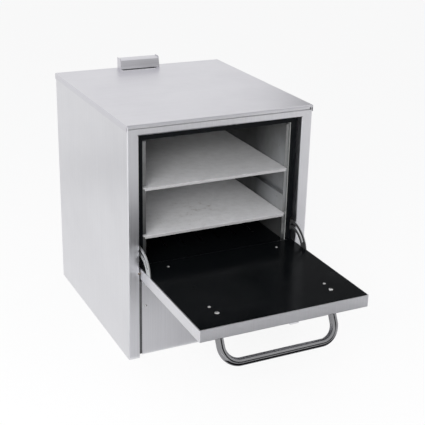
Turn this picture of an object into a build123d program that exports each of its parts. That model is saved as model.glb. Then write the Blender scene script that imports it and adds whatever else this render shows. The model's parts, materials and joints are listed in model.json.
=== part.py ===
from build123d import *
from math import cos, hypot, radians, sin, sqrt
import os

# Countertop deck oven, gas fired, in millimetres.
# The origin is the middle of the base, +X to the user's right, +Y to the back, +Z up.
# The door is drawn open and level.

# Cabinet
cabinet_width = 610.0
cabinet_depth = 672.0
cabinet_height = 755.0
skin = 1.2
bend = 2.4
fit_gap = 0.3

# Front frame
stile_width = 36.0
header_height = 35.0
lip_depth = 26.5
front_bend = 4.5
joggle_drop = 14.5
joggle_depth = 4.0
rail_top_flange = 24.0
rear_flange = 22.0

# Lid
lid_flange = 20.0
lid_front_drop = 6.5

# Baking chamber
liner = 1.0
jamb_lap = 22.0
rear_space = 112.3
jamb_sheet = 1.2
jamb_floor_gap = 3.0
arm_slot_margin = 6.0
floor_rise = 12.0
floor_turn_down = 14.0
floor_slot_count = 7
floor_slot_width = 9.0
floor_slot_length = 330.0

# Rack guides and decks
guide_flange = 12.5
ledge_width = 12.0
guide_headroom = 6.0
ledge_setback = 6.0
deck_sheet = 1.6
deck_side_gap = 2.0
deck_rear_gap = 25.7
deck_setback = 29.0
deck_lip = 8.0
deck_corner = 7.0
deck_rise = 93.0
deck_pitch = 153.0
deck_travel = 220.0
notch_low_room = 1.0
notch_high_room = 6.0
slide_gap = 0.3
lip_clearance = 1.5
middle_ledge_drop = 12.0

# Door and its hinge
pivot_height = 289.0
pivot_setback = 6.0
door_heel = 14.0
door_below_pivot = 19.0
door_above_pivot = 19.0
door_side_gap = 2.0
heel_clearance = 1.4
door_top_gap = 3.0
door_rim = 10.0
liner_rim = 3.0
liner_corner = 2.0
pin_radius = 4.0
pin_head_radius = 6.5
pin_head_length = 5.0
pin_end = 2.0
pin_play = 0.05
pin_seat = 0.02
bush_wall = 2.5
arm_sheet = 3.0
arm_inner_radius = 56.0
arm_outer_radius = 86.0
arm_tail_angle = 44.0
arm_head_angle = 172.0
arm_notch_gap = 1.0
arm_notch_side = 0.6
stop_angle = 55.0
stud_radius = 4.0
stud_head_radius = 7.0
stud_head_length = 2.5
stud_stand = 1.0
arm_corner = 9.0
arm_slot_sweep = 92.0
arm_foot_length = 100.0
hinge_plate_sheet = 3.0
hinge_plate_depth = 56.0
hinge_plate_below = 27.0
hinge_plate_above = 73.0
hinge_plate_corner = 6.0

# Door furniture
screw_outset = 4.0
stiffener_width = 30.0
stiffener_end_gap = 14.0
heel_screw_offset = 31.0
tip_screw_inset = 111.0
screw_play = 0.2
screw_head_radius = 4.6
screw_head_height = 2.4
screw_shank_radius = 2.1
liner_screw_length = 6.0
bolt_inset = 70.0
bolt_head_radius = 7.0
bolt_head_height = 4.0
bolt_radius = 4.0
bolt_grip = 9.0
bolt_play = 0.1
handle_spacing = 364.0
handle_tube_radius = 12.0
handle_wall = 1.6
handle_reach = 110.0
handle_lean = 28.0
handle_bend = 52.0
handle_plug = 34.0

# Lower front
panel_gap = 10.0
panel_setback = 6.0
panel_bottom = 6.0
panel_flange = 13.0
panel_clearance = 3.0
sill_drop = 3.2
panel_screw_inset = 12.5
panel_screw_length = 7.0
support_jamb_gap = 2.0
panel_screw_drops = (19.4, 88.4)
support_leg = 31.0
base_flange = 20.0

# Controls
knob_inset = 54.0
knob_height = 104.0
knob_radius = 21.0
knob_depth = 22.0
knob_skirt = 3.0
knob_gap = 1.0
knob_grip_share = 0.78
knob_flutes = 12
knob_flute_radius = 3.0
knob_edge = 2.0
pointer_width = 2.4
pointer_rise = 0.6
shaft_radius = 3.0
shaft_length = 24.0
shaft_play = 2.0
thermostat_size = (52.0, 58.0, 48.0)
valve_setback = 8.0
valve_nose_radius = 11.0
valve_corner = 6.0
riser_radius = 6.0
igniter_spacing = 77.0
button_radius = 8.0
button_stand = 1.5
button_travel = 5.0
button_engaged = 2.5
button_stem_radius = 3.0
button_stem_length = 14.0
igniter_bezel = 2.0
igniter_bezel_radius = 13.0
igniter_body_radius = 10.0
igniter_body_length = 42.0

# Burner and gas line
burner_drop = 63.0
tray_drop = 48.0
burner_radius = 14.0
burner_wall = 1.5
burner_rear_gap = 67.7
burner_spacing = 220.0
burner_start = 62.0
burner_cap = 5.0
port_lean = 28.0
rest_sheet = 2.0
rest_places = (0.24, 0.86)
jet_radius = 4.0
jet_reach = 6.0
manifold_overhang = 20.0
port_radius = 1.6
port_count = 12
supply_radius = 7.5
supply_bore = 6.0
supply_hole_gap = 0.3
stub_radius = 10.65
stub_length = 24.0
stub_neck_radius = 9.5
stub_neck = 1.5
stub_collar_radius = 15.0
stub_collar = 4.0
manifold_size = 16.0
manifold_setback = 36.0

# Flue
flue_width = 142.0
flue_offset = -15.0
flue_setback = 50.0
hood_rise = 37.0
hood_lean = 10.0
hood_slot = 4.5
hood_bend = 7.0
cheek_rise = 3.0
duct_inset = 7.0
duct_depth = 34.0
duct_mouth_height = 44.0
duct_mouth_drop = 4.0
hood_over_duct = 4.0

# Insulation
wool_gap = 0.4
rear_wool = 62.0
rear_wool_inset = 24.0
rear_wool_drop = 6.0
rail_wool_gap = 4.0
arm_wool_gap = 5.0
door_wool_gap = 1.0

# Back
louvre_rows = 6
louvre_columns = 3
louvre_length = 90.0
louvre_spacing = 20.0
louvre_shift = -60.0
louvre_height = 7.0
louvre_pitch = 17.0
louvre_low = 34.0
back_inset = 2.0
back_screw_radius = 4.5
back_screw_shank = 1.9
back_screw_length = 8.0
back_screw_inset = 12.0
back_screw_low = 46.0
back_screw_rows = 5

# Worked out from the sizes above
half_width = cabinet_width / 2
front = -cabinet_depth / 2
back = cabinet_depth / 2
inner_half = half_width - skin
lid_underside = cabinet_height - skin
opening_half = half_width - stile_width
opening_top = cabinet_height - header_height
joggle_height = cabinet_height - joggle_drop
joggle_bend = 0.45 * joggle_depth
jamb_front = front + lip_depth
chamber_half_width = opening_half - jamb_lap
chamber_top = opening_top - jamb_lap
chamber_front = jamb_front + jamb_sheet
chamber_back = back - rear_space
floor_height = pivot_height + floor_rise
burner_height = floor_height - burner_drop
tray_height = burner_height - tray_drop
chamber_bottom = tray_height + skin
jamb_low = floor_height + jamb_floor_gap
flue_left = flue_offset - flue_width / 2
flue_right = flue_offset + flue_width / 2
flue_front = back - flue_setback
duct_sides = (flue_left + duct_inset, flue_right - duct_inset)
duct_mouth = (chamber_top - duct_mouth_height, chamber_top - duct_mouth_drop)
duct_front = chamber_back + liner + rear_wool
duct_back = duct_front + duct_depth
pivot_y = front + pivot_setback
door_half = opening_half - door_side_gap
door_bottom = pivot_height - door_below_pivot
door_face = pivot_height + door_above_pivot
door_reach = opening_top - door_top_gap - pivot_height
liner_underside = door_face - skin
bolt_offset = door_reach - bolt_inset
screw_offsets = (heel_screw_offset, door_reach - tip_screw_inset)
stiffener_spacing = handle_spacing + 2 * screw_outset
heel_sweep = hypot(door_heel, door_below_pivot)
heel_reach = hypot(door_heel, door_above_pivot)
sill_front = pivot_y + heel_reach + heel_clearance
panel_top = pivot_height - heel_sweep - panel_clearance
panel_half = opening_half - panel_gap
panel_face = front + panel_setback
panel_back = panel_face + skin
knob_x = panel_half - knob_inset
igniter_x = knob_x - igniter_spacing
arm_outside = door_half - skin
arm_inside = arm_outside - arm_sheet
arm_mid_radius = (arm_inner_radius + arm_outer_radius) / 2
stud_y = pivot_y + arm_mid_radius * cos(radians(stop_angle))
stud_height = pivot_height + arm_mid_radius * sin(radians(stop_angle))
guide_inside = chamber_half_width - liner
lower_deck_top = floor_height + deck_rise
deck_half_width = chamber_half_width - deck_side_gap
deck_front = front + deck_setback
deck_back = chamber_back - deck_rear_gap
deck_tops = (lower_deck_top, lower_deck_top + deck_pitch)
guide_front = deck_front + deck_sheet + lip_clearance
ledge_tops = (
    lower_deck_top - deck_sheet - slide_gap,
    lower_deck_top + deck_pitch / 2 - middle_ledge_drop,
    lower_deck_top + deck_pitch - deck_sheet - slide_gap,
)
burner_length = chamber_back - burner_rear_gap - front - burner_start
back_panel_front = back - skin
wool_front = pivot_y + arm_outer_radius + arm_wool_gap


def block(x, y, z):
    """A plain plate or block from its low and high coordinates."""
    size = (x[1] - x[0], y[1] - y[0], z[1] - z[0])
    middle = ((x[0] + x[1]) / 2, (y[0] + y[1]) / 2, (z[0] + z[1]) / 2)
    return Pos(*middle) * Box(*size)


def rod(start, axis, length, radius):
    """A round bar from a start point along a unit axis."""
    return extrude(Plane(start, z_dir=axis) * Circle(radius), length)


def drill(point, axis, radius, reach=5.0):
    """A round cutter through a point, reaching out to both sides of it."""
    return extrude(Plane(point, z_dir=axis) * Circle(radius), reach, both=True)


def bent_sheet(plane, corners, thickness, radius, side, length):
    """Folded sheet: the outer line of its section, thickened to one side and drawn out."""
    line = FilletPolyline(*corners, radius=radius)
    outline = Wire(line.edges()).offset_2d(thickness, side=side)
    return extrude(plane * Face(outline), length, dir=plane.z_dir)


def mirrored(shape):
    """The same piece on the other side of the oven."""
    return mirror(shape, Plane.YZ)


def pan_screw(point, axis, head_radius, head_height, shank_radius, shank):
    """Round-headed screw: the seat of its head at the point, the axis out of the head."""
    seat = Plane(point, z_dir=axis)
    head = extrude(seat * Circle(head_radius), head_height)
    head = fillet(head.edges().sort_by(Axis((0, 0, 0), axis))[-1], head_height * 0.7)
    return head + extrude(seat * Circle(shank_radius), -shank)


# Outer cabinet


def side_panel():
    """Left side: one sheet folded round into the front stile and a rear flange, cut for the rail."""
    corners = [
        (-half_width + rear_flange, back_panel_front),
        (-half_width, back_panel_front),
        (-half_width, front),
        (-opening_half, front),
        (-opening_half, jamb_front),
    ]
    radii = [bend, front_bend, bend]
    panel = bent_sheet(Plane.XY, corners, skin, radii, Side.LEFT, lid_underside)
    y = (front - 1, jamb_front + 1)
    panel -= block((-half_width + front_bend, 0), y, (joggle_height - skin, cabinet_height))
    panel -= block((-opening_half - bend, 0), y, (opening_top, cabinet_height))
    panel -= drill((-opening_half, pivot_y, pivot_height), (1, 0, 0), pin_radius + bush_wall)
    for x, height in back_screw_places():
        panel -= drill((x, back, height), (0, 1, 0), back_screw_shank + bolt_play)
    return panel


def top_rail():
    """Header butted between the stiles, its top stepped back behind the lid's front lip."""
    step = front + joggle_depth
    corners = [
        (jamb_front, opening_top),
        (front, opening_top),
        (front, joggle_height),
        (step, joggle_height),
        (step, lid_underside),
        (step + rail_top_flange, lid_underside),
    ]
    radii = [front_bend, joggle_bend, joggle_bend, bend]
    edge = half_width - front_bend
    rail = bent_sheet(Plane.YZ, corners, skin, radii, Side.RIGHT, 2 * edge)
    y = (front - 1, jamb_front + 1)
    end = block((-edge - 1, -opening_half - bend), y, (opening_top - 1, joggle_height - skin))
    return Pos(-edge, 0, 0) * rail - end - mirrored(end)


def top_cover():
    """Drop-on lid with short flanges, cut out over the flue."""
    out = half_width + fit_gap + skin
    y_low = front - fit_gap - skin
    y_high = back + fit_gap + skin
    lid = block((-out, out), (y_low, y_high), (cabinet_height - lid_flange, cabinet_height))
    lid = fillet(lid.edges().filter_by(Axis.Z), bend)
    lid = fillet(lid.faces().sort_by(Axis.Z)[-1].edges(), bend)
    inner = block(
        (-out + skin, out - skin),
        (y_low + skin, y_high - skin),
        (cabinet_height - lid_flange - 1, lid_underside),
    )
    lid -= fillet(inner.edges().filter_by(Axis.Z), bend - skin)
    below_lip = cabinet_height - lid_front_drop
    lid -= block((-out, out), (y_low - 1, front), (cabinet_height - lid_flange - 1, below_lip))
    mouth = block(duct_sides, (duct_front, duct_back), (lid_underside - 1, cabinet_height + 1))
    return lid - mouth


def back_panel():
    """Rear cover with vent slots for the burner's air and a hole for the gas pipe."""
    edge = half_width - back_inset
    panel = block((-edge, edge), (back_panel_front, back), (back_inset, lid_underside))
    slot = extrude(Plane.XZ * SlotOverall(louvre_length, louvre_height), 3 * skin, both=True)
    for row in range(louvre_rows):
        for column in range(louvre_columns):
            middle = (louvre_columns - 1) / 2
            x = (column - middle) * (louvre_length + louvre_spacing) + louvre_shift
            panel -= Pos(x, back, louvre_low + row * louvre_pitch) * slot
    for x, height in back_screw_places():
        panel -= drill((x, back, height), (0, 1, 0), back_screw_shank + bolt_play)
    return panel - drill((knob_x, back, knob_height), (0, 1, 0), supply_radius + supply_hole_gap)


def back_screw_places():
    """Where the rear cover's screws go, evenly up both of its edges."""
    x = half_width - back_screw_inset
    low = back_screw_low
    pitch = (lid_underside - lid_flange - 2 * low) / (back_screw_rows - 1)
    return [(side * x, low + row * pitch) for row in range(back_screw_rows) for side in (-1, 1)]


def back_screws():
    """Screws that hold the rear cover to the side flanges."""
    return [
        pan_screw(
            (x, back, height),
            (0, 1, 0),
            back_screw_radius,
            screw_head_height,
            back_screw_shank,
            back_screw_length,
        )
        for x, height in back_screw_places()
    ]


def base_pan():
    """Floor of the cabinet, with upturned edges between the side panels."""
    y = (front + lip_depth + fit_gap, back_panel_front - skin - bend)
    pan = block((-inner_half, inner_half), y, (0, base_flange))
    inner_y = (y[0] + skin, y[1] - skin)
    inside = block((-inner_half + skin, inner_half - skin), inner_y, (skin, base_flange + 1))
    return pan - inside


def access_panel():
    """Lower front cover between the stiles, folded back along its top and bottom."""
    corners = [
        (panel_face + panel_flange, panel_bottom),
        (panel_face, panel_bottom),
        (panel_face, panel_top),
        (panel_face + panel_flange, panel_top),
    ]
    panel = bent_sheet(Plane.YZ, corners, skin, bend, Side.RIGHT, 2 * panel_half)
    panel = Pos(-panel_half, 0, 0) * panel
    panel -= drill((knob_x, panel_face, knob_height), (0, 1, 0), shaft_radius + shaft_play)
    igniter_seat = (igniter_x, panel_face, knob_height)
    panel -= drill(igniter_seat, (0, 1, 0), igniter_body_radius + fit_gap)
    for x, height in panel_screw_places():
        panel -= drill((x, panel_face, height), (0, 1, 0), screw_shank_radius + screw_play)
    return panel


def panel_screw_places():
    """Where the access panel's four screws go."""
    x = panel_half - panel_screw_inset
    return [(side * x, panel_top - drop) for side in (-1, 1) for drop in panel_screw_drops]


def panel_screws():
    """Four screws through the access panel into its supports."""
    return [
        pan_screw(
            (x, panel_face, height),
            (0, -1, 0),
            screw_head_radius,
            screw_head_height,
            screw_shank_radius,
            panel_screw_length,
        )
        for x, height in panel_screw_places()
    ]


def panel_support():
    """Upright angle behind the stile's lip that the access panel screws to."""
    corners = [
        (-opening_half + support_leg, panel_back),
        (-opening_half, panel_back),
        (-opening_half, jamb_front - support_jamb_gap),
    ]
    low = panel_bottom + skin + bend
    high = panel_top - skin - bend
    angle = Pos(0, 0, low) * bent_sheet(Plane.XY, corners, skin, bend, Side.RIGHT, high - low)
    for x, height in panel_screw_places():
        angle -= drill((x, panel_back, height), (0, 1, 0), screw_shank_radius + screw_play)
    return angle


# Baking chamber


def door_jamb():
    """Enamelled frame behind the opening that the closed door meets, slotted for the arms."""
    y = (jamb_front, chamber_front)
    edge = opening_half + skin
    frame = block((-edge, edge), y, (jamb_low, opening_top + skin))
    frame -= block(
        (-chamber_half_width, chamber_half_width), (y[0] - 1, y[1] + 1), (jamb_low - 1, chamber_top)
    )
    inset = jamb_front - pivot_y
    low = pivot_height + sqrt(arm_inner_radius**2 - inset**2) - arm_slot_margin
    high = pivot_height + sqrt(arm_outer_radius**2 - inset**2) + arm_slot_margin
    slot_x = (arm_inside - door_side_gap, arm_outside + door_side_gap)
    slot = block(slot_x, (y[0] - 1, y[1] + 1), (low, high))
    return frame - slot - mirrored(slot)


def chamber_side():
    """Left wall of the baking chamber, cut back where the door's heel swings."""
    y = (chamber_front, chamber_back)
    x = (-chamber_half_width - liner, -chamber_half_width)
    wall = block(x, y, (chamber_bottom, chamber_top))
    return wall - block((x[0] - 1, x[1] + 1), (y[0] - 1, sill_front), (0, jamb_low))


def chamber_ceiling():
    """Top of the baking chamber."""
    edge = chamber_half_width + liner
    return block((-edge, edge), (chamber_front, chamber_back), (chamber_top, chamber_top + liner))


def chamber_rear():
    """Back of the baking chamber, with the mouth of the flue near its top."""
    edge = chamber_half_width + liner
    y = (chamber_back, chamber_back + liner)
    wall = block((-edge, edge), y, (chamber_bottom, chamber_top + liner))
    return wall - block(duct_sides, (y[0] - 1, y[1] + 1), duct_mouth)


def chamber_floor():
    """Heat baffle under the lower deck, slotted along its length, turned down at the front."""
    edge = chamber_half_width
    corners = [
        (sill_front, floor_height - floor_turn_down),
        (sill_front, floor_height),
        (chamber_back, floor_height),
    ]
    baffle = bent_sheet(Plane.YZ, corners, skin, bend, Side.RIGHT, 2 * edge)
    baffle = Pos(-edge, 0, 0) * baffle
    slot = Rot(0, 0, 90) * SlotOverall(floor_slot_length, floor_slot_width)
    cut = extrude(slot, 4 * skin, both=True)
    pitch = 2 * edge / (floor_slot_count + 1)
    for number in range(floor_slot_count):
        x = (number - (floor_slot_count - 1) / 2) * pitch
        baffle -= Pos(x, (chamber_front + chamber_back) / 2, floor_height) * cut
    return baffle


def rack_guide():
    """Left rack guide: wall strip, front flange notched at each deck, and three ledges."""
    y = (guide_front, chamber_back)
    strip = (-chamber_half_width, -guide_inside)
    z = (floor_height, chamber_top - guide_headroom)
    guide = block(strip, y, z)
    flange_x = (-chamber_half_width, -chamber_half_width + guide_flange)
    flange = block(flange_x, (y[0], y[0] + skin), z)
    for top in deck_tops:
        notch = (top - deck_sheet - notch_low_room, top + notch_high_room)
        flange -= block((-chamber_half_width, 0), (y[0] - 1, y[0] + skin + 1), notch)
    guide += flange
    ledge_x = (-chamber_half_width, -guide_inside + ledge_width)
    for top in ledge_tops:
        ledge = block(ledge_x, (y[0] + ledge_setback, y[1]), (top - skin, top))
        guide += ledge
    return guide


def deck(top):
    """Sheet-metal deck with rounded corners, a turned-down front lip and a raised rear lip."""
    low, high = deck_front, deck_back
    plate = block((-deck_half_width, deck_half_width), (low, high), (top - deck_sheet, top))
    plate = fillet(plate.edges().filter_by(Axis.Z), deck_corner)
    lip_x = (-deck_half_width + deck_corner, deck_half_width - deck_corner)
    lip = block(lip_x, (low, low + deck_sheet), (top - deck_lip, top))
    rear = block(lip_x, (high - deck_sheet, high), (top - deck_sheet, top + deck_lip))
    tray = plate + lip + rear
    nose = tray.edges().filter_by(Axis.X).filter_by_position(Axis.Y, low - 0.01, low + 0.01)
    nose = nose.filter_by_position(Axis.Z, top - 0.01, top + 0.01)
    return fillet(nose, deck_sheet * 0.6)


# Door


def hinge_sector(inner, outer, low_angle, high_angle):
    """Ring sector about the pivot in the YZ plane, its angles counted from the back."""
    points = []
    for radius in (inner, outer):
        for angle in (low_angle, (low_angle + high_angle) / 2, high_angle):
            a = radians(angle)
            points.append((pivot_y + radius * cos(a), pivot_height + radius * sin(a)))
    inner_arc = ThreePointArc(*points[:3])
    outer_arc = ThreePointArc(*points[3:])
    sides = [Line(points[0], points[3]), Line(points[2], points[5])]
    return make_face([inner_arc, outer_arc, *sides])


def hinge_arm():
    """Left hinge arm: a quadrant with a curved slot, one with its foot inside the door."""
    quadrant = hinge_sector(arm_inner_radius, arm_outer_radius, arm_tail_angle, arm_head_angle)
    quadrant = fillet(quadrant.vertices().sort_by(Axis.X)[-2:], arm_corner)
    foot_low = door_bottom + skin
    foot_height = liner_underside - skin - foot_low
    foot = Rectangle(arm_foot_length, foot_height, align=(Align.MAX, Align.MIN))
    foot = Pos(pivot_y + door_heel - 2 * skin, foot_low) * foot
    outline = quadrant + foot
    keep = Rectangle(4 * arm_outer_radius, 4 * arm_outer_radius, align=(Align.CENTER, Align.MIN))
    outline &= Pos(pivot_y, foot_low) * keep
    slot_half = stud_radius + fit_gap
    slot_end = stop_angle + arm_slot_sweep
    outline -= hinge_sector(
        arm_mid_radius - slot_half, arm_mid_radius + slot_half, stop_angle, slot_end
    )
    for angle in (stop_angle, slot_end):
        a = radians(angle)
        end = (pivot_y + arm_mid_radius * cos(a), pivot_height + arm_mid_radius * sin(a))
        outline -= Pos(*end) * Circle(slot_half)
    outline -= Pos(pivot_y, pivot_height) * Circle(pin_radius + pin_seat)
    return Pos(-arm_outside, 0, 0) * extrude(Plane.YZ * outline, arm_sheet)


def arm_notch(z):
    """Room for the left arm where it rises through the door's rim and liner."""
    low = pivot_y - arm_outer_radius - arm_notch_gap
    high = pivot_y - sqrt(arm_inner_radius**2 - door_above_pivot**2) + 2 * arm_notch_gap
    return block((-arm_outside - 1, -arm_inside + arm_notch_side), (low, high), z)


def hinge_pin():
    """Left pivot pin, fast in the arm and turning in the cabinet's bush."""
    start = (-arm_inside + pin_head_length, pivot_y, pivot_height)
    length = start[0] + opening_half + skin + hinge_plate_sheet + pin_end
    pin = rod(start, (-1, 0, 0), length, pin_radius)
    head = rod(start, (-1, 0, 0), pin_head_length, pin_head_radius)
    return pin + head


def hinge_bush():
    """Left bush, pressed through the stile's lip and its backing plate."""
    length = skin + hinge_plate_sheet
    seat = (-opening_half, pivot_y, pivot_height)
    bush = rod(seat, (-1, 0, 0), length, pin_radius + bush_wall)
    return bush - drill(seat, (1, 0, 0), pin_radius + pin_play, 2 * length)


def hinge_plate():
    """Left backing plate behind the stile's lip, carrying the bush and the stop stud."""
    x = (-opening_half - skin - hinge_plate_sheet, -opening_half - skin)
    y = (front + skin + bend, front + hinge_plate_depth)
    z = (pivot_height - hinge_plate_below, pivot_height + hinge_plate_above)
    plate = block(x, y, z)
    plate = fillet(plate.edges().filter_by(Axis.X), hinge_plate_corner)
    return plate - drill((x[0], pivot_y, pivot_height), (1, 0, 0), pin_radius + bush_wall)


def stop_stud():
    """Left headed stud that runs in the arm's slot and stops the door level."""
    start = (-opening_half - skin, stud_y, stud_height)
    length = opening_half + skin - arm_inside + stud_stand
    shank = rod(start, (1, 0, 0), length, stud_radius)
    seat = (start[0] + length, stud_y, stud_height)
    return shank + rod(seat, (1, 0, 0), stud_head_length, stud_head_radius)


def door_pan():
    """Outer shell of the door: a folded pan with an inward rim that the liner lies on."""
    y = (pivot_y - door_reach, pivot_y + door_heel)
    pan = block((-door_half, door_half), y, (door_bottom, liner_underside))
    pan = fillet(pan.edges().filter_by(Axis.Z), bend)
    pan = fillet(pan.faces().sort_by(Axis.Z)[0].edges(), bend - 0.4)
    hollow = block(
        (-door_half + skin, door_half - skin),
        (y[0] + skin, y[1] - skin),
        (door_bottom + skin, liner_underside - skin),
    )
    mouth = block(
        (-door_half + door_rim, door_half - door_rim),
        (y[0] + door_rim, y[1] - door_rim),
        (door_bottom + 2 * skin, liner_underside + 1),
    )
    pan = pan - hollow - mouth
    for side in (-1, 1):
        pan -= drill((side * door_half, pivot_y, pivot_height), (1, 0, 0), pin_radius + bolt_play)
        pan -= bolt_shank_hole(side)
    notch = arm_notch((liner_underside - skin - 1, liner_underside + 1))
    notch &= block((-arm_outside, 0), (y[0], y[1]), (0, cabinet_height))
    pan -= notch
    return pan - mirrored(notch)


def bolt_shank_hole(side):
    """Hole for one handle bolt, through the whole door."""
    start = (side * handle_spacing / 2, pivot_y - bolt_offset, door_bottom - 1)
    height = door_above_pivot + door_below_pivot + 2
    return rod(start, (0, 0, 1), height, bolt_radius + bolt_play)


def liner_screw_places():
    """Where the liner's four small screws go."""
    x = stiffener_spacing / 2
    return [(side * x, pivot_y - offset) for side in (-1, 1) for offset in screw_offsets]


def door_liner():
    """Enamelled inner face of the door, notched round the hinge arms."""
    y = (pivot_y - door_reach + liner_rim, pivot_y + door_heel - liner_rim)
    x = (-door_half + liner_rim, door_half - liner_rim)
    plate = block(x, y, (liner_underside, door_face))
    plate = fillet(plate.edges().filter_by(Axis.Z), liner_corner)
    notch = arm_notch((liner_underside - 1, door_face + 1))
    plate = plate - notch - mirrored(notch)
    for side in (-1, 1):
        plate -= bolt_shank_hole(side)
    for x, y_screw in liner_screw_places():
        plate -= drill((x, y_screw, liner_underside), (0, 0, 1), screw_shank_radius + screw_play)
    return plate


def door_stiffeners():
    """Two channels inside the door that take the liner's screws and the handle's bolts."""
    low = door_bottom + skin
    height = liner_underside - low
    y = (
        pivot_y - door_reach + skin + stiffener_end_gap,
        pivot_y + door_heel - skin - stiffener_end_gap,
    )
    channels = []
    for side in (-1, 1):
        inner = side * (stiffener_spacing / 2 - stiffener_width / 2)
        outer = side * (stiffener_spacing / 2 + stiffener_width / 2)
        corners = [(outer, low), (inner, low), (inner, low + height), (outer, low + height)]
        turn = Side.RIGHT if side == 1 else Side.LEFT
        section = Plane((0, y[1], 0), x_dir=(1, 0, 0), z_dir=(0, -1, 0))
        channel = bent_sheet(section, corners, skin, bend, turn, y[1] - y[0])
        channel -= bolt_shank_hole(side)
        for x, y_screw in liner_screw_places():
            channel -= drill((x, y_screw, liner_underside), (0, 0, 1), screw_shank_radius + bolt_play)
        channels.append(channel)
    return channels


def door_insulation():
    """Three wool slabs that fill the door between and beside its channels."""
    inner = stiffener_spacing / 2 - stiffener_width / 2 - door_wool_gap
    outer = stiffener_spacing / 2 + stiffener_width / 2 + door_wool_gap
    side = arm_inside - arm_wool_gap - door_wool_gap
    y = (pivot_y - door_reach + skin + door_wool_gap, pivot_y + door_heel - skin - door_wool_gap)
    z = (door_bottom + skin, liner_underside - skin - wool_gap)
    slabs = [block((-inner, inner), y, z)]
    for sign in (-1, 1):
        x = sorted((sign * outer, sign * side))
        slabs.append(block(x, y, z))
    return slabs


def liner_screws():
    """Four small screws through the liner into the door's channels."""
    return [
        pan_screw(
            (x, y, door_face),
            (0, 0, 1),
            screw_head_radius,
            screw_head_height,
            screw_shank_radius,
            liner_screw_length,
        )
        for x, y in liner_screw_places()
    ]


def handle_bolts():
    """Two bolts from the liner through the door into the ends of the handle."""
    shank = door_face - door_bottom + bolt_grip
    return [
        pan_screw(
            (side * handle_spacing / 2, pivot_y - bolt_offset, door_face),
            (0, 0, 1),
            bolt_head_radius,
            bolt_head_height,
            bolt_radius,
            shank,
        )
        for side in (-1, 1)
    ]


def door_handle():
    """Bent tube handle, leaning outwards, with solid ends tapped for its bolts."""
    lean = radians(handle_lean)
    down = Vector(0, -sin(lean), -cos(lean))
    root = Vector(0, pivot_y - bolt_offset, door_bottom)
    start = root - down * handle_tube_radius
    bar = root + down * handle_reach
    x = Vector(handle_spacing / 2, 0, 0)
    path = FilletPolyline(start - x, bar - x, bar + x, start + x, radius=handle_bend)
    ends = Plane(start - x, z_dir=down)
    tube = sweep(ends * Circle(handle_tube_radius), path=path)
    plug = root + down * handle_plug
    bore_path = FilletPolyline(plug - x, bar - x, bar + x, plug + x, radius=handle_bend)
    bore_plane = Plane(plug - x, z_dir=down)
    tube -= sweep(bore_plane * Circle(handle_tube_radius - handle_wall), path=bore_path)
    trim_y = (pivot_y - 2 * bolt_offset, pivot_y)
    trim_z = (door_bottom, door_bottom + 4 * handle_tube_radius)
    tube -= block((-handle_spacing, handle_spacing), trim_y, trim_z)
    for side in (-1, 1):
        foot = (side * handle_spacing / 2, pivot_y - bolt_offset, door_bottom)
        tube -= rod(foot, (0, 0, -1), bolt_grip + skin, bolt_radius + bolt_play)
    return tube


# Burner and controls


def burner_tray():
    """Heat shield under the burners, across the whole cabinet."""
    y = (wool_front, back_panel_front - rear_flange)
    return block((-inner_half, inner_half), y, (tray_height, tray_height + skin))


def front_sill():
    """Apron under the chamber floor, behind the door's heel."""
    corners = [
        (panel_face + panel_flange + 1.0, panel_top - sill_drop),
        (sill_front, panel_top - sill_drop),
        (sill_front, floor_height - floor_turn_down),
    ]
    sill = bent_sheet(Plane.YZ, corners, skin, bend, Side.RIGHT, 2 * chamber_half_width)
    return Pos(-chamber_half_width, 0, 0) * sill


def burner(side):
    """One straight burner tube, closed at the back, with two rows of ports on top."""
    x = side * burner_spacing / 2
    y_low = front + burner_start
    tube = rod((x, y_low, burner_height), (0, 1, 0), burner_length, burner_radius)
    bore = burner_radius - burner_wall
    tube -= rod((x, y_low, burner_height), (0, 1, 0), burner_length - burner_cap, bore)
    pitch = burner_length / (port_count + 2)
    for number in range(port_count):
        y = y_low + (number + 2) * pitch
        for lean in (-port_lean, port_lean):
            direction = (sin(radians(lean)), 0, cos(radians(lean)))
            tube -= rod((x, y, burner_height), direction, 2 * burner_radius, port_radius)
    return tube


def burner_rests():
    """Two cross bars that hold the burner tubes above the heat shield."""
    bars = []
    x = (-chamber_half_width, chamber_half_width)
    for share in rest_places:
        y = front + burner_start + share * burner_length
        bar = block(x, (y, y + rest_sheet), (tray_height + skin, burner_height))
        for side in (-1, 1):
            centre = (side * burner_spacing / 2, y, burner_height)
            bar -= drill(centre, (0, 1, 0), burner_radius + bolt_play)
        bars.append(bar)
    return bars


def manifold_y():
    """Middle of the manifold, behind the access panel."""
    return front + manifold_setback


def gas_manifold():
    """Square feed bar across the front with a jet in line with each burner."""
    half = manifold_size / 2
    y = manifold_y()
    x = (-burner_spacing / 2 - manifold_overhang, knob_x + half)
    bar = block(x, (y - half, y + half), (burner_height - half, burner_height + half))
    jet_length = burner_start - manifold_setback - half + jet_reach
    for side in (-1, 1):
        jet = (side * burner_spacing / 2, y + half, burner_height)
        bar += rod(jet, (0, 1, 0), jet_length, jet_radius)
    return bar


def thermostat():
    """Thermostatic gas valve behind the knob, piped up to the manifold."""
    width, depth, height = thermostat_size
    y = panel_back + valve_setback
    top = knob_height + height / 2
    body = block(
        (knob_x - width / 2, knob_x + width / 2),
        (y, y + depth),
        (knob_height - height / 2, top),
    )
    body = fillet(body.edges().filter_by(Axis.Y), valve_corner)
    nose = rod((knob_x, y, knob_height), (0, -1, 0), valve_setback, valve_nose_radius)
    riser_length = burner_height - manifold_size / 2 - top
    riser = rod((knob_x, manifold_y(), top), (0, 0, 1), riser_length, riser_radius)
    bore = rod((knob_x, panel_back, knob_height), (0, 1, 0), shaft_length, shaft_radius + pin_play)
    return body + nose + riser - bore


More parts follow.
